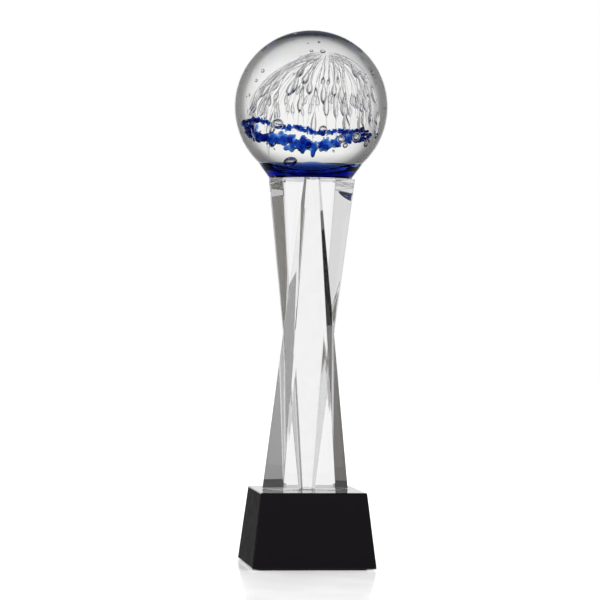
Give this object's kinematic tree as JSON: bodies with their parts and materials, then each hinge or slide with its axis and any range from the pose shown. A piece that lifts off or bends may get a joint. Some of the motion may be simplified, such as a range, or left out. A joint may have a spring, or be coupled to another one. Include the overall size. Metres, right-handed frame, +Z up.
{
  "type": "column trophy",
  "caption": "Free-standing award: a round art-glass ball on a column of two tapered crystal prisms bonded head to tail, on a black glass block with sloping sides.",
  "frame": {"origin": "middle of the underside, on the surface that the trophy stands on", "axes": "+Z up through the column and the ball's centre, -Y to the front, where the column's upright prism is, +X to the front's right"},
  "size_m": [0.08, 0.08, 0.2783],
  "materials": {
    "pad_foam": "closed-cell foam, matt",
    "black_glass": "opaque black glass, cut and polished",
    "bond_film": "cured clear adhesive",
    "optical_crystal": "colourless optical crystal, cut and polished",
    "cobalt_glass": "transparent cobalt-blue glass, fire polished, flat ground foot",
    "blue_frit": "crushed cobalt and turquoise glass fused in clear glass",
    "clear_art_glass": "clear hand-worked glass, fire polished"
  },
  "bodies": {
    "root": {"base_pad": "pad_foam", "base_block": "black_glass", "column_bond": "bond_film", "front_prism": "optical_crystal", "prism_bond": "bond_film", "rear_prism": "optical_crystal", "ball_bond": "bond_film", "cobalt_foot": "cobalt_glass", "ball_core": "clear_art_glass", "frit_ring": "blue_frit", "ball_casing": "clear_art_glass"}
  },
  "joints": []
}
